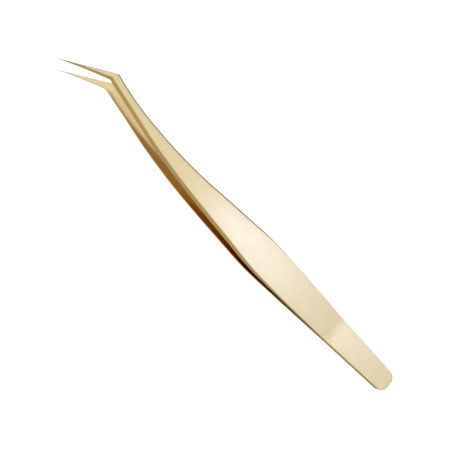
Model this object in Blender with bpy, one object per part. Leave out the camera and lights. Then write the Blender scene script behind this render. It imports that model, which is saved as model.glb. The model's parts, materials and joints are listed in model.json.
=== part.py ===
"""Pointed angled tweezers: two ground steel arms spot-welded through a spacer at the heel.

Built in metres in a design frame: X runs from the heel end to the points, Y is the arms' width with
the points bent towards +Y, and Z is the opening direction, with the mid-plane between the arms at
z = 0. The finished assembly is then laid down as it lies on a table, +Z up.
"""
import math

import bmesh
import bpy
from mathutils import Matrix, Vector

MM = 0.001

# --- driving dimensions, in millimetres unless the name says otherwise ---------------------------
LENGTH = 138.4            # heel end to the points, along X
HEEL_WIDTH = 7.0          # width of the arms at the heel end, as if its corners were square
BELLY_WIDTH = 11.5        # widest place, under the fingertips
FLANK_DROP = 0.65         # how much narrower than the belly the straight flanks end
WAIST_WIDTH = 6.7         # where the belly has drawn in to the neck
NECK_WIDTH = 3.4          # parallel neck, just before the bend
SHOULDER_SHARE = 0.57     # of belly less waist, still there halfway between the two
ROOT_SHARE = 0.43         # of waist less neck, still there halfway between those
FLANK_X = 48.0
BELLY_X = 58.0
WAIST_X = 90.0
HEEL_CORNER_RADIUS = 2.6

HEEL_THICKNESS = 0.9      # one arm where it is welded
NECK_THICKNESS = 1.5      # one arm from the waist to the bend
SPACER_THICKNESS = 1.1
WELD_LENGTH = 26.0        # heel end to the front of the spacer
ARM_SLOPE_DEG = 3.5       # each arm's inner face against the mid-plane, from heel to waist
NECK_SLOPE_DEG = 1.25     # the same along the neck and prong
EASE_LENGTH = 20.0        # length of the gentle set where one slope turns into the other
EASE_X = 88.0

NECK_START_X = 83.3       # where the centreline leaves straight
NECK_SWEEP_RADIUS = 174.0 # sideways sweep of the neck, away from the side the points face
NECK_LENGTH = 7.0         # straight-sided part of the neck, up to the bend
BEND_X = 124.8
PRONG_RISE = 7.75         # sideways travel of the points from the middle of the bend
BEND_INNER_RADIUS = 1.2
BEND_OUTER_RADIUS = 0.3
POINT_WIDTH = 0.2
POINT_THICKNESS = 0.25

HEEL_CHAMFER = 0.15       # sideways run of the sloped edges at the heel
NECK_CHAMFER = 0.9        # the same once the edges are fully ground, along the neck
CHAMFER_START_X = 46.0
CHAMFER_FULL_X = 74.0
PRONG_BACK_CHAMFER = 0.15 # on the prong's outer edge, as a share of its width
PRONG_FRONT_CHAMFER = 0.55 # most that the other edge's slope takes of the prong's width

FLEX_X = 42.0             # line that each arm bends about
SPLIT_GAP = 0.3           # between the heel half and the moving half of an arm
SEAM = 0.05               # clearance between pieces that are pressed together

WELD_COUNT = 3
WELD_DIAMETER = 2.8
WELD_PENETRATION = 0.3    # how far a nugget reaches into each arm
WELD_FIRST_X = 5.5
WELD_PITCH = 7.5
ROUND_SEGMENTS = 32

LENGTH_STEPS = 44         # evenly spaced stations if they ran on to the points
STATION_GAP = 0.4         # least distance from an evenly spaced station to an end or a corner
CORNER_STEPS = 6
BEND_STEPS = 6
PRONG_STEPS = 12

ARM_COLOUR = (0.76, 0.65, 0.42, 1.0)
SPACER_COLOUR = (0.70, 0.60, 0.40, 1.0)
WELD_COLOUR = (0.55, 0.54, 0.52, 1.0)
ARM_ROUGHNESS = 0.34
SPACER_ROUGHNESS = 0.42
WELD_ROUGHNESS = 0.5

ARM_SLOPE = math.tan(math.radians(ARM_SLOPE_DEG))
NECK_SLOPE = math.tan(math.radians(NECK_SLOPE_DEG))


# --- scene ---------------------------------------------------------------------------------------
def clear_scene():
    for obj in list(bpy.data.objects):
        bpy.data.objects.remove(obj, do_unlink=True)


def make_collection(name):
    collection = bpy.data.collections.new(name)
    bpy.context.scene.collection.children.link(collection)
    return collection


def metal(name, colour, roughness):
    material = bpy.data.materials.new(name)
    material.use_nodes = True
    shader = material.node_tree.nodes["Principled BSDF"]
    shader.inputs["Base Color"].default_value = colour
    shader.inputs["Metallic"].default_value = 1.0
    shader.inputs["Roughness"].default_value = roughness
    return material


def add_object(collection, name, bm, origin, material):
    """Make an object from bm, with its origin at a point of the design frame."""
    bmesh.ops.translate(bm, verts=bm.verts, vec=-origin)
    bmesh.ops.recalc_face_normals(bm, faces=bm.faces)
    mesh = bpy.data.meshes.new(name)
    bm.to_mesh(mesh)
    bm.free()
    obj = bpy.data.objects.new(name, mesh)
    obj.location = origin
    mesh.materials.append(material)
    collection.objects.link(obj)
    return obj


# --- the arm's shape, as functions of the place along it ------------------------------------------
def smooth_between(points, x):
    """Monotone cubic through (x, value) points, flat outside them."""
    if x <= points[0][0]:
        return points[0][1]
    if x >= points[-1][0]:
        return points[-1][1]
    gaps = [b[0] - a[0] for a, b in zip(points, points[1:])]
    slopes = [(b[1] - a[1]) / gap for a, b, gap in zip(points, points[1:], gaps)]
    tangents = [slopes[0]]
    for before, after in zip(slopes, slopes[1:]):
        rising = before * after > 0
        tangents.append(2.0 * before * after / (before + after) if rising else 0.0)
    tangents.append(0.0)
    i = max(n for n in range(len(gaps)) if points[n][0] <= x)
    t = (x - points[i][0]) / gaps[i]
    return (points[i][1] * (2 * t**3 - 3 * t**2 + 1) + tangents[i] * gaps[i] * (t**3 - 2 * t**2 + t)
            + points[i + 1][1] * (3 * t**2 - 2 * t**3) + tangents[i + 1] * gaps[i] * (t**3 - t**2))


def half_width(x):
    """Half the inner face's width, across the centreline."""
    neck_x = BEND_X - NECK_LENGTH
    shoulder = (0.5 * (BELLY_X + WAIST_X), WAIST_WIDTH + SHOULDER_SHARE * (BELLY_WIDTH - WAIST_WIDTH))
    root = (0.5 * (WAIST_X + neck_x), NECK_WIDTH + ROOT_SHARE * (WAIST_WIDTH - NECK_WIDTH))
    keys = [(0.0, HEEL_WIDTH), (FLANK_X, BELLY_WIDTH - FLANK_DROP), (BELLY_X, BELLY_WIDTH),
            shoulder, (WAIST_X, WAIST_WIDTH), root, (neck_x, NECK_WIDTH)]
    return 0.5 * smooth_between(keys, x)


def centreline(x):
    """Point and unit heading of the centreline seen from above."""
    run = max(0.0, x - NECK_START_X)
    heading = math.asin(run / NECK_SWEEP_RADIUS)
    drop = NECK_SWEEP_RADIUS * (1.0 - math.cos(heading))
    return Vector((x, -drop)), Vector((math.cos(heading), -math.sin(heading)))


def inner_height(x):
    """Height of an arm's inner face over the mid-plane."""
    seat = 0.5 * SPACER_THICKNESS + SEAM
    if x <= WELD_LENGTH:
        return seat
    start = EASE_X - 0.5 * EASE_LENGTH
    eased = min(max(x - start, 0.0), EASE_LENGTH)
    past = max(x - start - EASE_LENGTH, 0.0)
    slope_drop = ARM_SLOPE - NECK_SLOPE
    lost = slope_drop * (0.5 * eased * eased / EASE_LENGTH + past)
    return seat + ARM_SLOPE * (x - WELD_LENGTH) - lost


def thickness(x):
    """Thickness of an arm: thin at the weld, growing evenly to the ease, then constant."""
    full = EASE_X - 0.5 * EASE_LENGTH
    share = min(max((x - WELD_LENGTH) / (full - WELD_LENGTH), 0.0), 1.0)
    return HEEL_THICKNESS + (NECK_THICKNESS - HEEL_THICKNESS) * share


def chamfer(x):
    keys = [(CHAMFER_START_X, HEEL_CHAMFER), (CHAMFER_FULL_X, NECK_CHAMFER)]
    return smooth_between(keys, x)


def heel_corner_inset(x):
    """How much the rounded heel corners take off the half width."""
    if x >= HEEL_CORNER_RADIUS:
        return 0.0
    rest = HEEL_CORNER_RADIUS - x
    return HEEL_CORNER_RADIUS - math.sqrt(HEEL_CORNER_RADIUS**2 - rest**2)


class Station:
    """One section of an arm: the two edges of its inner face and what is ground off above them."""

    def __init__(self, near, far, thick, near_run, far_run):
        self.near, self.far, self.thick = near, far, thick
        across = (far - near).normalized()
        self.near_top = near + across * near_run
        self.far_top = far - across * far_run

    def corners(self, side):
        """Section as four points, inner face first; side is +1 for the upper arm, -1 for the lower."""
        points = []
        for flat, above in ((self.near, 0.0), (self.far, 0.0),
                            (self.far_top, self.thick), (self.near_top, self.thick)):
            height = inner_height(flat.x) + above
            points.append(Vector((flat.x, flat.y, side * height)) * MM)
        return points


def handle_station(x):
    centre, heading = centreline(x)
    across = Vector((-heading.y, heading.x))
    half = half_width(x) - heel_corner_inset(x)
    run = chamfer(x)
    return Station(centre + across * half, centre - across * half, thickness(x), run, run)


def fillet(corner, before, after, radius, steps):
    """Points round a corner where unit direction `before` turns to `after`."""
    turn = before.angle_signed(after)
    reach = radius * math.tan(0.5 * abs(turn))
    inward = (after - before).normalized()
    middle = corner + inward * (radius / math.cos(0.5 * abs(turn)))
    start = corner - before * reach - middle
    points = []
    for n in range(steps + 1):
        spin = Matrix.Rotation(-turn * n / steps, 2)
        points.append(middle + spin @ start)
    return points


def bend_and_prong_stations():
    """Stations round the sideways bend and out to the point."""
    centre, heading = centreline(BEND_X)
    across = Vector((-heading.y, heading.x))
    near_corner = centre + across * (0.5 * NECK_WIDTH)
    far_corner = centre - across * (0.5 * NECK_WIDTH)
    point = Vector((LENGTH, centre.y + PRONG_RISE))
    prong_heading = (point - centre).normalized()
    prong_across = Vector((-prong_heading.y, prong_heading.x))
    near_end = point + prong_across * (0.5 * POINT_WIDTH)
    far_end = point - prong_across * (0.5 * POINT_WIDTH)
    near_ray = (near_end - near_corner).normalized()
    far_ray = (far_end - far_corner).normalized()
    nears = fillet(near_corner, heading, near_ray, BEND_INNER_RADIUS, BEND_STEPS)
    fars = fillet(far_corner, heading, far_ray, BEND_OUTER_RADIUS, BEND_STEPS)
    stations = []
    for n, (near, far) in enumerate(zip(nears, fars)):
        far_run = NECK_CHAMFER + (PRONG_BACK_CHAMFER * NECK_WIDTH - NECK_CHAMFER) * n / BEND_STEPS
        stations.append(Station(near, far, thickness(BEND_X), NECK_CHAMFER, far_run))
    for n in range(1, PRONG_STEPS + 1):
        t = n / PRONG_STEPS
        near = nears[-1].lerp(near_end, t)
        far = fars[-1].lerp(far_end, t)
        width = (far - near).length
        thick = thickness(BEND_X) + (POINT_THICKNESS - thickness(BEND_X)) * t
        near_run = min(NECK_CHAMFER, PRONG_FRONT_CHAMFER * width)
        stations.append(Station(near, far, thick, near_run, PRONG_BACK_CHAMFER * width))
    return stations


def handle_places(start, end):
    """Places along the handle between two stops, closer together round the heel corners."""
    stops = [LENGTH * n / LENGTH_STEPS for n in range(LENGTH_STEPS)]
    stops += [WELD_LENGTH, EASE_X - 0.5 * EASE_LENGTH, EASE_X + 0.5 * EASE_LENGTH]
    corner = [HEEL_CORNER_RADIUS * (1.0 - math.cos(0.5 * math.pi * n / CORNER_STEPS))
              for n in range(CORNER_STEPS + 1)]
    stops = [x for x in stops if x > HEEL_CORNER_RADIUS + STATION_GAP]
    inside = [x for x in stops if start + STATION_GAP < x < end - STATION_GAP]
    return [start] + sorted(inside + [x for x in corner if x > start]) + [end]


def loft(sections):
    """Closed solid through four-cornered sections."""
    bm = bmesh.new()
    rings = [[bm.verts.new(point) for point in section] for section in sections]
    for ring, following in zip(rings, rings[1:]):
        for n in range(4):
            m = (n + 1) % 4
            bm.faces.new((ring[n], ring[m], following[m], following[n]))
    bm.faces.new(rings[0])
    bm.faces.new(rings[-1])
    return bm


# --- pieces ---------------------------------------------------------------------------------------
def weld_places():
    return [WELD_FIRST_X + WELD_PITCH * n for n in range(WELD_COUNT)]


def disc(x, radius, low, high):
    bm = bmesh.new()
    bmesh.ops.create_cone(bm, cap_ends=True, segments=ROUND_SEGMENTS, radius1=radius * MM,
                          radius2=radius * MM, depth=(high - low) * MM)
    bmesh.ops.translate(bm, verts=bm.verts, vec=Vector((x, 0.0, 0.5 * (low + high))) * MM)
    return bm


def cut(obj, cutter):
    modifier = obj.modifiers.new("cut_" + cutter.name, "BOOLEAN")
    modifier.operation = "DIFFERENCE"
    modifier.solver = "EXACT"
    modifier.object = cutter


def add_cutters(collection, material):
    """One through-cutter per weld: the hole in the spacer and the seats in both arms."""
    reach = 0.5 * SPACER_THICKNESS + SEAM + WELD_PENETRATION
    cutters = []
    for n, x in enumerate(weld_places(), start=1):
        bm = disc(x, 0.5 * WELD_DIAMETER + SEAM, -reach, reach)
        cutter = add_object(collection, f"weld_cutter_{n}", bm, Vector((0.0, 0.0, 0.0)), material)
        cutter.hide_render = True
        cutter.display_type = "WIRE"
        cutters.append(cutter)
    return cutters


def flex_point(side):
    """Middle of the arm's thickness on its flex line."""
    return Vector((FLEX_X, 0.0, side * (inner_height(FLEX_X) + 0.5 * thickness(FLEX_X)))) * MM


def add_arm(collection, name, side, material, cutters):
    heel_end = FLEX_X - 0.5 * SPLIT_GAP
    heel_stations = [handle_station(x) for x in handle_places(0.0, heel_end)]
    heel = add_object(collection, name + "_heel", loft([s.corners(side) for s in heel_stations]),
                      Vector((0.0, 0.0, 0.0)), material)
    for cutter in cutters:
        cut(heel, cutter)
    last = BEND_X - BEND_INNER_RADIUS
    free_stations = [handle_station(x) for x in handle_places(FLEX_X + 0.5 * SPLIT_GAP, last)]
    free_stations += bend_and_prong_stations()
    free = add_object(collection, name, loft([s.corners(side) for s in free_stations]),
                      flex_point(side), material)
    return heel, free


def add_spacer(collection, material, cutters):
    half = 0.5 * SPACER_THICKNESS
    sections = []
    for station in [handle_station(x) for x in handle_places(0.0, WELD_LENGTH)]:
        corners = ((station.near, -half), (station.far, -half), (station.far, half), (station.near, half))
        sections.append([Vector((flat.x, flat.y, height)) * MM for flat, height in corners])
    spacer = add_object(collection, "heel_spacer", loft(sections), Vector((0.0, 0.0, 0.0)), material)
    for cutter in cutters:
        cut(spacer, cutter)
    return spacer


def add_welds(collection, material):
    reach = 0.5 * SPACER_THICKNESS + WELD_PENETRATION
    welds = []
    for n, x in enumerate(weld_places(), start=1):
        bm = disc(x, 0.5 * WELD_DIAMETER, -reach, reach)
        welds.append(add_object(collection, f"weld_nugget_{n}", bm, Vector((x, 0.0, 0.0)) * MM, material))
    return welds


def lay_down(collection, pieces, lower_pieces):
    """Parent everything to an empty that lays the tweezers on z = 0, centred in X and Y.

    They lie on two places: the lower arm's heel end, and the outside of the ease at its waist.
    """
    soles = [piece.location + vertex.co for piece in lower_pieces for vertex in piece.data.vertices]
    heel_end = min(soles, key=lambda point: (round(point.x, 6), point.z))
    ahead = [point for point in soles if point.x > heel_end.x + HEEL_CORNER_RADIUS * MM]
    lean = max((heel_end.z - point.z) / (point.x - heel_end.x) for point in ahead)
    spin = Matrix.Rotation(-math.atan(lean), 4, "Y")
    low, high = [math.inf] * 3, [-math.inf] * 3
    for piece in pieces:
        for vertex in piece.data.vertices:
            point = spin @ (piece.location + vertex.co)
            low = [min(a, b) for a, b in zip(low, point)]
            high = [max(a, b) for a, b in zip(high, point)]
    base = bpy.data.objects.new("lying_position", None)
    collection.objects.link(base)
    shift = Vector((-0.5 * (low[0] + high[0]), -0.5 * (low[1] + high[1]), -low[2]))
    base.matrix_world = Matrix.Translation(shift) @ spin
    for piece in pieces:
        piece.parent = base
    bpy.context.view_layer.update()


clear_scene()
parts = make_collection("angled_tweezers")
cutting = make_collection("cutters")
arm_metal = metal("arm_gilt_satin", ARM_COLOUR, ARM_ROUGHNESS)
spacer_metal = metal("spacer_gilt", SPACER_COLOUR, SPACER_ROUGHNESS)
weld_metal = metal("weld_steel", WELD_COLOUR, WELD_ROUGHNESS)
weld_cutters = add_cutters(cutting, weld_metal)
upper = add_arm(parts, "upper_arm", 1.0, arm_metal, weld_cutters)
lower = add_arm(parts, "lower_arm", -1.0, arm_metal, weld_cutters)
spacer = add_spacer(parts, spacer_metal, weld_cutters)
nuggets = add_welds(parts, weld_metal)
lay_down(parts, [*upper, *lower, spacer, *nuggets, *weld_cutters], lower)
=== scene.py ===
import json
import math

import bmesh
import bpy
from mathutils import Matrix, Vector


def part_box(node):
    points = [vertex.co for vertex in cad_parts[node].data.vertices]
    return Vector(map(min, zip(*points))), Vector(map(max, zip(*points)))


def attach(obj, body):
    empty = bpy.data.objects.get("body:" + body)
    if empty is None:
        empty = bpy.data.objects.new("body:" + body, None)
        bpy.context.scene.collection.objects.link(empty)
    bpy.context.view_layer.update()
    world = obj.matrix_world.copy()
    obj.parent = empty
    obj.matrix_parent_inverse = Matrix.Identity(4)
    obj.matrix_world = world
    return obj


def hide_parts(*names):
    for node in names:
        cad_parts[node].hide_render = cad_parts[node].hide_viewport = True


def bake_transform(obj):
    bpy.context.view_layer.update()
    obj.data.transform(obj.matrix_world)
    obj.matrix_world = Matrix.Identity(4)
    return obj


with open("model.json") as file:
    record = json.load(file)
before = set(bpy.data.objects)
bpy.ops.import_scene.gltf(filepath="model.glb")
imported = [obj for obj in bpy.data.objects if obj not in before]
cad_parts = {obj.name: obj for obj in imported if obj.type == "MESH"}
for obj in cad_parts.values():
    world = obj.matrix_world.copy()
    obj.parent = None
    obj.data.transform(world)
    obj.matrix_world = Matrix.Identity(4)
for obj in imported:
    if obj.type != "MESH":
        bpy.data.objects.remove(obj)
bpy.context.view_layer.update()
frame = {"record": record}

# ==== how the tweezers lie =========================================================================
# The finished tweezers lie on the heel's lower edge and the lower arm's waist, so they lean a little.
# Each piece is made straight, in millimetres: X from the heel end to the points, Y across towards the
# side the points are bent to, Z the way the arms open. The lean and the first weld then place it.
MM = 0.001
WELD_FIRST_X = 5.5

heel_axis = next(m["axis"] for m in frame["record"]["mounts"] if m["name"] == "heel_face")
lean = math.atan2(heel_axis[0], -heel_axis[2])
first_weld = sum(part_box("weld_nugget_1"), Vector()) / 2.0
lying = (Matrix.Translation(first_weld) @ Matrix.Rotation(-lean, 4, "Y") @ Matrix.Scale(MM, 4)
         @ Matrix.Translation((-WELD_FIRST_X, 0.0, 0.0)))

# ==== the two arms =================================================================================
# Each arm is one strip of spring steel, blanked to a leaf-shaped outline, bevelled by grinding along
# both edges, set open by a slight kink at the weld, then satin brushed across its width and coated
# champagne gold. The points are drawn down to needles after the sideways bend.
LENGTH = 138.4
HEEL_WIDTH = 7.0
FLANK_WIDTH = 10.85
BELLY_WIDTH = 11.5
SHOULDER_WIDTH = 9.44
WAIST_WIDTH = 6.7
NECK_ROOT_WIDTH = 4.82
NECK_WIDTH = 3.4
FLANK_X = 48.0
BELLY_X = 58.0
WAIST_X = 90.0
HEEL_CORNER_RADIUS = 2.6

HEEL_THICKNESS = 0.9
NECK_THICKNESS = 1.5
HEEL_GAP = 1.2            # between the arms' inner faces where they are welded
WELD_LENGTH = 26.0
KINK_LENGTH = 3.0         # over which the arms turn away from each other at the end of the weld
ARM_SLOPE = math.tan(math.radians(3.5))
NECK_SLOPE = math.tan(math.radians(1.25))
EASE_START_X = 78.0
EASE_LENGTH = 20.0

NECK_START_X = 83.3
NECK_SWEEP_RADIUS = 174.0
NECK_LENGTH = 7.0
BEND_X = 124.8
PRONG_RISE = 7.75
BEND_INNER_RADIUS = 1.2
BEND_OUTER_RADIUS = 0.3
POINT_WIDTH = 0.2
POINT_THICKNESS = 0.25

HEEL_CHAMFER = 0.15
NECK_CHAMFER = 0.9
CHAMFER_START_X = 46.0
CHAMFER_FULL_X = 74.0
PRONG_FRONT_SHARE = 0.55  # most that the bevel takes of the prong's width, on its inner side
PRONG_BACK_SHARE = 0.15   # the same on its outer side

INNER_EDGE_RADIUS = 0.22
OUTER_EDGE_RADIUS = 0.26
EDGE_SHARE = 0.2          # most that an edge radius takes of the width or thickness
CROWN = 0.006             # rise of the outer face's middle, as a share of its width

CORNER_STEPS = 14
HANDLE_STEP = 1.0
BEND_STEPS = 14
PRONG_STEPS = 44
EDGE_STEPS = 5
BEVEL_STEPS = 4
FACE_STEPS = 16
POINT_STEPS = 3


def smooth_between(keys, x):
    """Monotone cubic through (x, value) keys, flat outside them."""
    if x <= keys[0][0]:
        return keys[0][1]
    if x >= keys[-1][0]:
        return keys[-1][1]
    gaps = [b[0] - a[0] for a, b in zip(keys, keys[1:])]
    slopes = [(b[1] - a[1]) / gap for a, b, gap in zip(keys, keys[1:], gaps)]
    tangents = [slopes[0]]
    for before, after in zip(slopes, slopes[1:]):
        rising = before * after > 0
        tangents.append(2.0 * before * after / (before + after) if rising else 0.0)
    tangents.append(0.0)
    i = max(n for n in range(len(gaps)) if keys[n][0] <= x)
    t = (x - keys[i][0]) / gaps[i]
    return (keys[i][1] * (2 * t**3 - 3 * t**2 + 1) + tangents[i] * gaps[i] * (t**3 - 2 * t**2 + t)
            + keys[i + 1][1] * (3 * t**2 - 2 * t**3) + tangents[i + 1] * gaps[i] * (t**3 - t**2))


def half_width(x):
    neck_x = BEND_X - NECK_LENGTH
    keys = [(0.0, HEEL_WIDTH), (FLANK_X, FLANK_WIDTH), (BELLY_X, BELLY_WIDTH),
            (0.5 * (BELLY_X + WAIST_X), SHOULDER_WIDTH), (WAIST_X, WAIST_WIDTH),
            (0.5 * (WAIST_X + neck_x), NECK_ROOT_WIDTH), (neck_x, NECK_WIDTH)]
    return 0.5 * smooth_between(keys, x)


def centreline(x):
    """Point and unit heading of the arm's middle line, seen from above."""
    heading = math.asin(max(0.0, x - NECK_START_X) / NECK_SWEEP_RADIUS)
    drop = NECK_SWEEP_RADIUS * (1.0 - math.cos(heading))
    return Vector((x, -drop)), Vector((math.cos(heading), -math.sin(heading)))


def inner_height(x):
    """Height of an arm's inner face over the plane between the arms."""
    kink_start = WELD_LENGTH - 0.5 * KINK_LENGTH
    turning = min(max(x - kink_start, 0.0), KINK_LENGTH)
    rise = ARM_SLOPE * (0.5 * turning**2 / KINK_LENGTH + max(x - kink_start - KINK_LENGTH, 0.0))
    eased = min(max(x - EASE_START_X, 0.0), EASE_LENGTH)
    past = max(x - EASE_START_X - EASE_LENGTH, 0.0)
    return (0.5 * HEEL_GAP + rise
            - (ARM_SLOPE - NECK_SLOPE) * (0.5 * eased**2 / EASE_LENGTH + past))


def thickness(x):
    share = min(max((x - WELD_LENGTH) / (EASE_START_X - WELD_LENGTH), 0.0), 1.0)
    return HEEL_THICKNESS + (NECK_THICKNESS - HEEL_THICKNESS) * share


def fillet(corner, before, after, radius, steps):
    """Points round a corner where unit direction `before` turns to `after`."""
    turn = before.angle_signed(after)
    middle = corner + (after - before).normalized() * (radius / math.cos(0.5 * abs(turn)))
    start = corner - before * (radius * math.tan(0.5 * abs(turn))) - middle
    return [middle + Matrix.Rotation(-turn * n / steps, 2) @ start for n in range(steps + 1)]


def bevel_profile(run, thick, width):
    """Side of an arm's section from the inner face to the outer one, as (inset, height, surface)."""
    slope = Vector((run, thick)).normalized()
    most = EDGE_SHARE * min(thick, width)
    inner = fillet(Vector((0.0, 0.0)), Vector((-1.0, 0.0)), slope,
                   min(INNER_EDGE_RADIUS, most), EDGE_STEPS)
    outer = fillet(Vector((run, thick)), slope, Vector((1.0, 0.0)),
                   min(OUTER_EDGE_RADIUS, most), EDGE_STEPS)
    bevel = [inner[-1].lerp(outer[0], n / BEVEL_STEPS) for n in range(1, BEVEL_STEPS)]
    edge = ["edge"] * (EDGE_STEPS - 1)
    surfaces = ["inner"] + edge + ["bevel"] * (len(bevel) + 2) + edge + ["outer"]
    return [(p.x, p.y, surface) for p, surface in zip(inner + bevel + outer, surfaces)]


class Station:
    """One section of a strip: its two edges seen from above, the ways in from them, and its sides."""

    def __init__(self, along, near, far, near_side, far_side, ways_in=None):
        self.along, self.near, self.far = along, near, far
        self.near_side, self.far_side = near_side, far_side
        across = (far - near).normalized()
        self.near_in, self.far_in = ways_in or (across, -across)

    def edge(self, on_near, inset):
        if on_near:
            return self.near + self.near_in * inset
        return self.far + self.far_in * inset

    def face(self, inset_near, inset_far):
        """Places across a face, from its near end to its far end, closer together at the ends."""
        start, end = self.edge(True, inset_near), self.edge(False, inset_far)
        shares = [0.5 - 0.5 * math.cos(math.pi * n / FACE_STEPS) for n in range(1, FACE_STEPS)]
        return [(start.lerp(end, share), share) for share in shares]


def ring_of(station, height_at, crown):
    """Closed section as (point, girth, surface): near side up, outer face, far side, inner face."""
    near_side, far_side = station.near_side, station.far_side
    width = (station.far - station.near).length
    top, bottom = near_side[-1], near_side[0]
    places = [(station.edge(True, u), z, surface) for u, z, surface in near_side]
    places += [(flat, top[1] + crown * width * 4.0 * share * (1.0 - share), top[2])
               for flat, share in station.face(top[0], far_side[-1][0])]
    places += [(station.edge(False, u), z, surface) for u, z, surface in reversed(far_side)]
    places += [(flat, bottom[1], bottom[2])
               for flat, share in reversed(station.face(bottom[0], far_side[0][0]))]
    ring, girth, last = [], 0.0, None
    for flat, z, surface in places:
        point = Vector((flat.x, flat.y, height_at(flat.x) + z))
        girth += (point - last).length if last else 0.0
        ring.append((point, girth - 0.5 * width, surface))
        last = point
    return ring


class Strip:
    """A closed mesh built ring by ring, with what its finish needs written on each vertex."""

    def __init__(self, flip):
        self.bm = bmesh.new()
        self.notes = {name: self.bm.verts.layers.float.new(name)
                      for name in ("along", "girth", "edge", "bevel", "inner")}
        self.flip = -1.0 if flip else 1.0

    def vertex(self, place, **notes):
        made = self.bm.verts.new(place)
        for name, value in notes.items():
            made[self.notes[name]] = value
        return made

    def like(self, place, other, **changed):
        """A vertex with another one's notes, apart from those changed."""
        notes = {name: other[layer] for name, layer in self.notes.items()}
        return self.vertex(place, **{**notes, **changed})

    def ring(self, places, along):
        return [self.vertex(lying @ Vector((point.x, point.y, self.flip * point.z)), along=along,
                            girth=girth, **({surface: 1.0} if surface in self.notes else {}))
                for point, girth, surface in places]

    def bridge(self, first, second):
        for n in range(len(first)):
            m = (n + 1) % len(first)
            self.bm.faces.new((first[n], first[m], second[m], second[n]))

    def end_wall(self, ring, side_count):
        """Closes a ring across its end with a grid from its near side to its far side."""
        face_count = FACE_STEPS - 1
        near = ring[:side_count]
        outer = ring[side_count:side_count + face_count]
        far = ring[side_count + face_count:2 * side_count + face_count][::-1]
        inner = ring[2 * side_count + face_count:][::-1]
        rows = [[near[0], *inner, far[0]]]
        for n in range(1, side_count - 1):
            lift = (near[n].co - near[0].co).length / (near[-1].co - near[0].co).length
            row = [near[n]]
            for low, high in zip(inner, outer):
                share = (low.co - near[0].co).length / (far[0].co - near[0].co).length
                bow = (high.co - near[-1].co.lerp(far[-1].co, share)) * lift
                row.append(self.like(near[n].co.lerp(far[n].co, share) + bow, near[n],
                                     girth=low[self.notes["girth"]]))
            rows.append(row + [far[n]])
        rows.append([near[-1], *outer, far[-1]])
        for low_row, high_row in zip(rows, rows[1:]):
            for n in range(len(low_row) - 1):
                self.bm.faces.new((low_row[n], low_row[n + 1], high_row[n + 1], high_row[n]))

    def finish(self, name):
        bmesh.ops.recalc_face_normals(self.bm, faces=self.bm.faces)
        mesh = bpy.data.meshes.new(name)
        self.bm.to_mesh(mesh)
        self.bm.free()
        mesh.shade_smooth()
        made = bpy.data.objects.new(name, mesh)
        bpy.context.scene.collection.objects.link(made)
        return made


def corner_stations(end_x, way, radius, side_at):
    """Stations round both corners of a strip's square end, from the end inwards."""
    stations = []
    for n in range(CORNER_STEPS + 1):
        angle = 0.5 * math.pi * n / CORNER_STEPS
        x = end_x + way * radius * (1.0 - math.cos(angle))
        half = half_width(x) - radius * (1.0 - math.sin(angle))
        inward = Vector((way * math.cos(angle), -math.sin(angle)))
        stations.append(Station(x, Vector((x, half)), Vector((x, -half)), side_at(x), side_at(x),
                                (inward, Vector((inward.x, -inward.y)))))
    return stations


def arm_side(x):
    run = smooth_between([(CHAMFER_START_X, HEEL_CHAMFER), (CHAMFER_FULL_X, NECK_CHAMFER)], x)
    return bevel_profile(run, thickness(x), 2.0 * half_width(x))


def arm_stations():
    stations = corner_stations(0.0, 1.0, HEEL_CORNER_RADIUS, arm_side)
    last = BEND_X - BEND_INNER_RADIUS
    count = round((last - HEEL_CORNER_RADIUS) / HANDLE_STEP)
    for n in range(1, count):
        x = HEEL_CORNER_RADIUS + (last - HEEL_CORNER_RADIUS) * n / count
        centre, heading = centreline(x)
        across = Vector((-heading.y, heading.x)) * half_width(x)
        stations.append(Station(x, centre + across, centre - across, arm_side(x), arm_side(x)))
    centre, heading = centreline(BEND_X)
    across = Vector((-heading.y, heading.x))
    near_corner, far_corner = centre + across * 0.5 * NECK_WIDTH, centre - across * 0.5 * NECK_WIDTH
    point = Vector((LENGTH, centre.y + PRONG_RISE))
    prong_heading = (point - centre).normalized()
    prong_across = Vector((-prong_heading.y, prong_heading.x))
    near_end, far_end = (point + prong_across * way * 0.5 * POINT_WIDTH for way in (1.0, -1.0))
    nears = fillet(near_corner, heading, (near_end - near_corner).normalized(),
                   BEND_INNER_RADIUS, BEND_STEPS)
    fars = fillet(far_corner, heading, (far_end - far_corner).normalized(),
                  BEND_OUTER_RADIUS, BEND_STEPS)
    back_run = PRONG_BACK_SHARE * NECK_WIDTH
    for n, (near, far) in enumerate(zip(nears, fars)):
        run = NECK_CHAMFER + (back_run - NECK_CHAMFER) * n / BEND_STEPS
        stations.append(Station(last + (near - nears[0]).length, near, far,
                                bevel_profile(NECK_CHAMFER, NECK_THICKNESS, NECK_WIDTH),
                                bevel_profile(run, NECK_THICKNESS, NECK_WIDTH)))
    bend_end = stations[-1].along
    for n in range(1, PRONG_STEPS + 1):
        t = n / PRONG_STEPS
        near, far = nears[-1].lerp(near_end, t), fars[-1].lerp(far_end, t)
        width = (far - near).length
        thick = NECK_THICKNESS + (POINT_THICKNESS - NECK_THICKNESS) * t
        near_run = min(NECK_CHAMFER, PRONG_FRONT_SHARE * width)
        stations.append(Station(bend_end + (near - nears[-1]).length, near, far,
                                bevel_profile(near_run, thick, width),
                                bevel_profile(PRONG_BACK_SHARE * width, thick, width)))
    return stations


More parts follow.
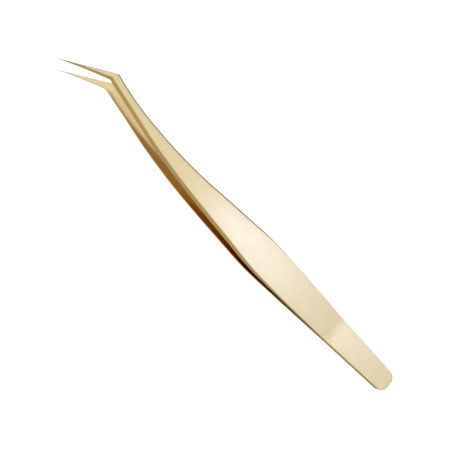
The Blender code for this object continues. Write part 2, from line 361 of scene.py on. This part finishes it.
def draw_point(strip, ring):
    """Rounds the needle's end off with rings that draw in to one vertex."""
    middle = sum((v.co for v in ring), Vector()) / len(ring)
    ahead = (lying.to_3x3() @ Vector((1.0, PRONG_RISE / (LENGTH - BEND_X), 0.0))).normalized()
    reach = ahead * 0.5 * POINT_WIDTH * MM
    last = ring
    for n in range(1, POINT_STEPS):
        angle = 0.5 * math.pi * n / POINT_STEPS
        drawn = [strip.like(middle + (v.co - middle) * math.cos(angle) + reach * math.sin(angle), v)
                 for v in ring]
        strip.bridge(last, drawn)
        last = drawn
    tip = strip.like(middle + reach, ring[0])
    for n in range(len(last)):
        strip.bm.faces.new((last[n], last[(n + 1) % len(last)], tip))


def make_arm(name, flip):
    strip = Strip(flip)
    rings = [strip.ring(ring_of(station, inner_height, CROWN), station.along)
             for station in arm_stations()]
    for first, second in zip(rings, rings[1:]):
        strip.bridge(first, second)
    strip.end_wall(rings[0], len(arm_side(0.0)))
    draw_point(strip, rings[-1])
    return strip.finish(name)


def wire(tree, kind, inputs=None, **settings):
    """A new node; an input given as another node's output socket is linked, any other is set."""
    made = tree.nodes.new("ShaderNode" + kind)
    for key, value in settings.items():
        setattr(made, key, value)
    for key, value in (inputs or {}).items():
        if isinstance(value, bpy.types.NodeSocket):
            tree.links.new(value, made.inputs[key])
        else:
            made.inputs[key].default_value = value
    return made


def math_node(tree, operation, *values):
    return wire(tree, "Math", dict(enumerate(values)), operation=operation).outputs[0]


def written(tree, name):
    return wire(tree, "Attribute", attribute_name=name).outputs["Fac"]


def grain(tree, along, girth, along_scale, girth_scale, detail):
    """Noise drawn out along one direction of the strip; scales are in cycles per millimetre."""
    place = wire(tree, "CombineXYZ", {0: math_node(tree, "MULTIPLY", along, along_scale),
                                      1: math_node(tree, "MULTIPLY", girth, girth_scale)})
    return wire(tree, "TexNoise", {"Vector": place.outputs[0], "Scale": 1.0, "Detail": detail,
                                   "Roughness": 0.6}).outputs["Fac"]


def mixed(tree, share, first, second):
    """Colour mix by share."""
    return wire(tree, "Mix", {0: share, 6: first, 7: second}, data_type="RGBA").outputs[2]


def between(tree, value, low, high, to_low, to_high, way="LINEAR"):
    """Carries a value from one range over to another, held at both ends."""
    return wire(tree, "MapRange", {"Value": value, "From Min": low, "From Max": high,
                                   "To Min": to_low, "To Max": to_high},
                interpolation_type=way).outputs[0]


FACE_BRUSHING = (9.0, 0.35, 3.0)     # cycles per millimetre along and across, and noise detail
FACE_STROKES = (1.4, 0.22, 2.0)
BEVEL_GRINDING = (0.3, 16.0, 2.0)
COATING_CLOUDS = (0.09, 0.22, 3.0)
EDGE_HIGHLIGHT = 0.5           # how much of the paler colour, a painted edge highlight, shows on the rounded edges
POINT_WEAR = 0.75         # how much bare steel shows at the points
GRIP_POLISH = 0.4         # roughness between the grips, as a share of that between the necks
BRUSH_SPREAD = 0.03       # how far the brushing and the clouds move the roughness either way
CLOUD_SPREAD = 0.02
BRUSH_DEPTH = 0.02
BRUSH_STRENGTH = 0.15


def brushed_coating(name, colour, deep, painted_edge_highlight, painted_gap_shade, bare, roughness, bright):
    """Coated steel: brushed across on the outside, ground lengthwise on the bevels, polished smoother
    on the inner faces.

    The inner faces between the arms are painted darker, as painted shade for the narrow gap, and the
    coating thins out to bare steel at the points.
    """
    made = bpy.data.materials.new(name)
    made.use_nodes = True
    tree = made.node_tree
    shader = tree.nodes["Principled BSDF"]
    shader.inputs["Metallic"].default_value = 1.0
    along, girth = written(tree, "along"), written(tree, "girth")
    edge, bevel, inner = (written(tree, note) for note in ("edge", "bevel", "inner"))
    brushed = grain(tree, along, girth, *FACE_BRUSHING)
    ground = grain(tree, along, girth, *BEVEL_GRINDING)
    lines = wire(tree, "Mix", {0: bevel, 2: brushed, 3: ground}).outputs[0]
    clouds = grain(tree, along, girth, *COATING_CLOUDS)
    strokes = grain(tree, along, girth, *FACE_STROKES)
    patches = wire(tree, "Mix", {0: 0.5, 2: clouds, 3: strokes}).outputs[0]
    tone = mixed(tree, between(tree, patches, 0.38, 0.62, 0.0, 1.0), deep, colour)
    # Painted highlight: the rounded edges are mixed towards a paler, lighter gold, in place of the
    # bright lines where the edges catch the light.
    tone = mixed(tree, math_node(tree, "MULTIPLY", edge, EDGE_HIGHLIGHT), tone, painted_edge_highlight)
    # Painted shade: the inner faces are darker and more saturated from the heel to the neck, fading
    # out towards the bend, in place of the shade in the narrow gap between the arms.
    gap_shade_reach = between(tree, along, BEND_X - NECK_LENGTH, BEND_X, 1.0, 0.0)
    tone = mixed(tree, math_node(tree, "MULTIPLY", inner, gap_shade_reach), tone, painted_gap_shade)
    tone = mixed(tree, between(tree, along, BEND_X, LENGTH, 0.0, POINT_WEAR), tone, bare)
    tree.links.new(tone, shader.inputs["Base Color"])
    rough = math_node(tree, "ADD", between(tree, lines, 0.3, 0.7, roughness - BRUSH_SPREAD,
                                           roughness + BRUSH_SPREAD),
                      between(tree, clouds, 0.3, 0.7, -CLOUD_SPREAD, CLOUD_SPREAD))
    polish = between(tree, along, BELLY_X, NECK_START_X, GRIP_POLISH * bright, bright)
    rough = wire(tree, "Mix", {0: inner, 2: rough, 3: math_node(tree, "MULTIPLY", rough, polish)})
    tree.links.new(rough.outputs[0], shader.inputs["Roughness"])
    bump = wire(tree, "Bump", {"Strength": BRUSH_STRENGTH, "Distance": BRUSH_DEPTH * MM,
                               "Height": lines})
    tree.links.new(bump.outputs[0], shader.inputs["Normal"])
    return made


# The fourth colour is painted shade for the inner faces between the arms.
# The third colour is a paler gold painted on the rounded edges as a highlight.
arm_finish = brushed_coating("champagne_satin", (0.80, 0.64, 0.37, 1.0), (0.76, 0.60, 0.33, 1.0),
                             (0.86, 0.72, 0.47, 1.0), (0.72, 0.52, 0.26, 1.0),
                             (0.58, 0.55, 0.50, 1.0), 0.30, 0.5)

arms = []
for body, flip in (("upper_arm", False), ("lower_arm", True)):
    arm = make_arm(body + "_strip", flip)
    arm.data.materials.append(arm_finish)
    arms.append(arm)

# ==== the spacer ===================================================================================
# A flat steel filler between the two heels, blanked to the same outline, coated with the arms. Three
# round holes let the weld metal through. It sits a hair inside the arms' edges.
SPACER_THICKNESS = 1.1
SPACER_INSET = 0.08
SPACER_EDGE_RADIUS = 0.12
SPACER_FRONT_RADIUS = 0.5


def spacer_side(x):
    half = 0.5 * SPACER_THICKNESS
    up = Vector((0.0, 1.0))
    lower = fillet(Vector((SPACER_INSET, -half)), Vector((-1.0, 0.0)), up,
                   SPACER_EDGE_RADIUS, EDGE_STEPS)
    upper = fillet(Vector((SPACER_INSET, half)), up, Vector((1.0, 0.0)),
                   SPACER_EDGE_RADIUS, EDGE_STEPS)
    surfaces = ["inner"] + ["edge"] * (EDGE_STEPS - 1) + ["bevel"]
    return [(p.x, p.y, surface) for p, surface in zip(lower + upper, surfaces + surfaces[::-1])]


def make_spacer():
    back = corner_stations(0.0, 1.0, HEEL_CORNER_RADIUS, spacer_side)
    front = corner_stations(WELD_LENGTH, -1.0, SPACER_FRONT_RADIUS, spacer_side)
    start, end = HEEL_CORNER_RADIUS, WELD_LENGTH - SPACER_FRONT_RADIUS
    count = round((end - start) / HANDLE_STEP)
    middle = []
    for n in range(1, count):
        x = start + (end - start) * n / count
        middle.append(Station(x, Vector((x, half_width(x))), Vector((x, -half_width(x))),
                              spacer_side(x), spacer_side(x)))
    strip = Strip(False)
    stations = back + middle + front[::-1]
    rings = [strip.ring(ring_of(station, lambda x: 0.0, 0.0), station.along)
             for station in stations]
    for first, second in zip(rings, rings[1:]):
        strip.bridge(first, second)
    side_count = len(spacer_side(0.0))
    strip.end_wall(rings[0], side_count)
    strip.end_wall(rings[-1], side_count)
    return strip.finish("heel_spacer_plate")


spacer_plate = make_spacer()
# The spacer's colours are darker than the arms': painted shade for the narrow, recessed stack side
# between the arms.
spacer_plate.data.materials.append(
    brushed_coating("spacer_gilt", (0.70, 0.57, 0.34, 1.0), (0.64, 0.50, 0.28, 1.0),
                    (0.78, 0.66, 0.44, 1.0), (0.70, 0.52, 0.26, 1.0), (0.62, 0.58, 0.52, 1.0),
                    0.40, 1.0))

# ==== the spot welds ===============================================================================
# Three nuggets of once-molten steel that join arm, spacer and arm. Each fills a hole in the spacer
# and a shallow seat in each arm, lens-shaped, with heat-tinted rings and a dull skin.
WELD_COUNT = 3
WELD_PITCH = 7.5
WELD_RADIUS = 1.4
WELD_REACH = 0.85         # half the nugget's height
SEAT_CLEARANCE = 0.05
WELD_SEGMENTS = 48
WELD_RIPPLES = 900.0      # cycles per metre
WELD_SKIN = 2500.0
RIPPLE_DEPTH = 0.03
WELD_LENS = [(0.62, 0.0), (0.84, 0.05), (0.96, 0.16), (1.0, 0.55)]   # share of radius, depth from top


def turned(profile, x):
    """Closed mesh of a (radius, height) profile turned round the weld's axis at x."""
    bm = bmesh.new()
    rings = []
    for radius, height in profile:
        ring = []
        for n in range(WELD_SEGMENTS):
            angle = math.tau * n / WELD_SEGMENTS
            ring.append(bm.verts.new(lying @ Vector((x + radius * math.cos(angle),
                                                     radius * math.sin(angle), height))))
        rings.append(ring)
    for low, high in zip(rings, rings[1:]):
        for n in range(WELD_SEGMENTS):
            m = (n + 1) % WELD_SEGMENTS
            bm.faces.new((low[n], low[m], high[m], high[n]))
    bm.faces.new(rings[0])
    bm.faces.new(rings[-1])
    bmesh.ops.recalc_face_normals(bm, faces=bm.faces)
    return bm


def weld_metal():
    made = bpy.data.materials.new("weld_steel")
    made.use_nodes = True
    tree = made.node_tree
    shader = tree.nodes["Principled BSDF"]
    shader.inputs["Metallic"].default_value = 1.0
    place = wire(tree, "TexCoord").outputs["Object"]
    ripples = wire(tree, "TexWave", {"Vector": place, "Scale": WELD_RIPPLES, "Distortion": 2.0},
                   wave_type="RINGS", rings_direction="Z").outputs["Fac"]
    skin = wire(tree, "TexNoise", {"Vector": place, "Scale": WELD_SKIN, "Detail": 4.0}).outputs["Fac"]
    tint = mixed(tree, ripples, (0.46, 0.42, 0.38, 1.0), (0.58, 0.56, 0.55, 1.0))
    tint = mixed(tree, between(tree, skin, 0.5, 0.75, 0.0, 0.6), tint, (0.30, 0.25, 0.22, 1.0))
    tree.links.new(tint, shader.inputs["Base Color"])
    tree.links.new(between(tree, skin, 0.3, 0.7, 0.42, 0.62), shader.inputs["Roughness"])
    bump = wire(tree, "Bump", {"Strength": 0.4, "Distance": RIPPLE_DEPTH * MM, "Height": ripples})
    tree.links.new(bump.outputs[0], shader.inputs["Normal"])
    return made


weld_finish = weld_metal()
seats = []
for n in range(WELD_COUNT):
    x = WELD_FIRST_X + WELD_PITCH * n
    half_lens = [(WELD_RADIUS * share, WELD_REACH - depth) for share, depth in WELD_LENS]
    bm = turned([(radius, -height) for radius, height in half_lens] + half_lens[::-1], x)
    centre = lying @ Vector((x, 0.0, 0.0))
    bmesh.ops.translate(bm, verts=bm.verts, vec=-centre)
    name = f"weld_nugget_{n + 1}"
    mesh = bpy.data.meshes.new(name + "_metal")
    bm.to_mesh(mesh)
    bm.free()
    mesh.shade_smooth()
    mesh.materials.append(weld_finish)
    nugget = bpy.data.objects.new(name + "_metal", mesh)
    nugget.location = centre
    bpy.context.scene.collection.objects.link(nugget)
    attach(nugget, "heel")
    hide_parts(name)
    reach = WELD_REACH + SEAT_CLEARANCE
    radius = WELD_RADIUS + SEAT_CLEARANCE
    mesh = bpy.data.meshes.new("seat")
    bm = turned([(radius, -reach), (radius, reach)], x)
    bm.to_mesh(mesh)
    bm.free()
    seat = bpy.data.objects.new("seat", mesh)
    bpy.context.scene.collection.objects.link(seat)
    seats.append(seat)

for piece in (*arms, spacer_plate):
    for seat in seats:
        cut = piece.modifiers.new("seat", "BOOLEAN")
        cut.operation, cut.solver, cut.object = "DIFFERENCE", "EXACT", seat
    drilled = bpy.data.meshes.new_from_object(
        piece.evaluated_get(bpy.context.evaluated_depsgraph_get()))
    drilled.name = piece.name
    piece.modifiers.clear()
    piece.data = drilled
for seat in seats:
    bpy.data.objects.remove(seat)

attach(spacer_plate, "heel")
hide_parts("heel_spacer")
for arm, body in zip(arms, ("upper_arm", "lower_arm")):
    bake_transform(arm)
    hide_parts(body + "_heel", body)

# ==== the table, the light and the camera ==========================================================
# A white paper table that sweeps up into a round backdrop, under even studio light: one cool overhead
# panel towards the heel, a pale room on the -Y side and a warmer, dimmer one on the +Y side. The
# metal mirrors the room and the panel, and not the paper.
BACKDROP_RADIUS = 3.0
BACKDROP_HEIGHT = 2.5
BACKDROP_COVE = 1.0       # radius of the sweep from the table into the wall
BACKDROP_SEGMENTS = 96
COVE_STEPS = 12
PAPER_GLOW = 0.6
ROOM_BLEND = 0.6          # how far to each side the two halves of the room run into each other
ARM_TO_ARM_BOUNCES = 11   # light goes to and fro many times in the narrow gap between the arms
LIT_PLACE = Vector((0.0, 0.0, 0.005))
PANEL_DIRECTION = (-0.41, -0.23, 0.885)
PANEL_DISTANCE = 0.8
PANEL_SIZE = 0.16
PANEL_POWER = 0.13
PANEL_COLOUR = (0.75, 1.07, 2.35)

turns = [math.tau * n / BACKDROP_SEGMENTS for n in range(BACKDROP_SEGMENTS)]
swept = [0.5 * math.pi * n / COVE_STEPS for n in range(COVE_STEPS + 1)]
table_radius = BACKDROP_RADIUS - BACKDROP_COVE
profile = [(table_radius + BACKDROP_COVE * math.sin(t), BACKDROP_COVE * (1.0 - math.cos(t)))
           for t in swept] + [(BACKDROP_RADIUS, BACKDROP_HEIGHT)]
bm = bmesh.new()
rings = [[bm.verts.new((r * math.cos(t), r * math.sin(t), z)) for t in turns] for r, z in profile]
bm.faces.new(rings[0])
for ring, above in zip(rings, rings[1:]):
    for n in range(BACKDROP_SEGMENTS):
        m = (n + 1) % BACKDROP_SEGMENTS
        bm.faces.new((ring[n], ring[m], above[m], above[n]))
sweep = bpy.data.meshes.new("table_and_backdrop")
bm.to_mesh(sweep)
bm.free()
floor = bpy.data.objects.new("table_and_backdrop", sweep)
bpy.context.scene.collection.objects.link(floor)
paper = bpy.data.materials.new("white_paper")
paper.use_nodes = True
sheet = paper.node_tree.nodes["Principled BSDF"]
sheet.inputs["Base Color"].default_value = (0.9, 0.9, 0.9, 1.0)
sheet.inputs["Roughness"].default_value = 0.9
sheet.inputs["Emission Color"].default_value = (1.0, 1.0, 1.0, 1.0)
sheet.inputs["Emission Strength"].default_value = PAPER_GLOW
floor.data.materials.append(paper)
floor.visible_glossy = False

world = bpy.data.worlds.new("studio")
bpy.context.scene.world = world
world.use_nodes = True
sky = world.node_tree
around = wire(sky, "SeparateXYZ", {0: wire(sky, "TexCoord").outputs["Generated"]})
height = around.outputs["Z"]


def room_side(levels):
    """Brightness of one side of the room from straight down to straight up."""
    ramp = wire(sky, "ValToRGB", {"Fac": between(sky, height, -1.0, 1.0, 0.0, 1.0)})
    stops = ramp.color_ramp.elements
    stops.remove(stops[1])
    for n, (upward, colour) in enumerate(levels):
        stop = stops[0] if n == 0 else stops.new(0.5 + 0.5 * upward)
        stop.position, stop.color = 0.5 + 0.5 * upward, (*colour, 1.0)
    return ramp.outputs["Color"]


dim_side = room_side([
    (-1.0, (0.50, 0.48, 0.46)), (-0.7, (0.40, 0.36, 0.30)), (-0.4, (0.48, 0.41, 0.28)),
    (-0.15, (0.60, 0.51, 0.25)), (0.1, (0.53, 0.49, 0.28)), (0.4, (0.46, 0.43, 0.38)),
    (0.7, (0.62, 0.59, 0.54)), (0.88, (0.95, 0.93, 0.88)), (1.0, (1.04, 1.04, 1.02))])
bright_side = room_side([
    (-1.0, (0.50, 0.48, 0.46)), (-0.7, (0.35, 0.36, 0.38)), (-0.4, (0.42, 0.45, 0.48)),
    (0.1, (0.60, 0.63, 0.66)), (0.4, (0.72, 0.75, 0.80)), (0.7, (0.88, 0.92, 1.00)),
    (0.88, (0.96, 1.00, 1.06)), (1.0, (1.04, 1.04, 1.02))])
sideways = between(sky, around.outputs["Y"], -ROOM_BLEND, ROOM_BLEND, 0.0, 1.0, "SMOOTHSTEP")
sky.links.new(mixed(sky, sideways, bright_side, dim_side), sky.nodes["Background"].inputs["Color"])

panel = bpy.data.lights.new("overhead_panel", "AREA")
panel.size, panel.energy, panel.color = PANEL_SIZE, PANEL_POWER, PANEL_COLOUR
lamp = bpy.data.objects.new("overhead_panel", panel)
towards_panel = Vector(PANEL_DIRECTION).normalized()
lamp.location = LIT_PLACE + towards_panel * PANEL_DISTANCE
lamp.rotation_mode = "QUATERNION"
lamp.rotation_quaternion = towards_panel.to_track_quat("Z", "Y")
bpy.context.scene.collection.objects.link(lamp)

VIEW_AZIMUTH = math.radians(147.63)
VIEW_ELEVATION = math.radians(74.39)
VIEW_ROLL = math.radians(76.03)
VIEW_DISTANCE = 0.190
VIEW_TARGET = Vector((0.003939, 0.001380, 0.005080))
VIEW_LENS = 51.73         # in millimetres, on a sensor of the next value's width
VIEW_SENSOR = 36.0
VIEW_NEAREST = 0.01

camera = bpy.data.objects.new("camera", bpy.data.cameras.new("camera"))
bpy.context.scene.collection.objects.link(camera)
camera.data.sensor_width = VIEW_SENSOR
camera.data.lens = VIEW_LENS
camera.data.clip_start = VIEW_NEAREST
away = Vector((math.sin(VIEW_AZIMUTH) * math.cos(VIEW_ELEVATION),
               -math.cos(VIEW_AZIMUTH) * math.cos(VIEW_ELEVATION), math.sin(VIEW_ELEVATION)))
camera.location = VIEW_TARGET + away * VIEW_DISTANCE
turned_to = away.to_track_quat("Z", "Y").to_matrix().to_4x4() @ Matrix.Rotation(VIEW_ROLL, 4, "Z")
camera.rotation_euler = turned_to.to_euler()
bpy.context.scene.camera = camera
bpy.context.scene.view_settings.view_transform = "Standard"
bpy.context.scene.cycles.glossy_bounces = ARM_TO_ARM_BOUNCES
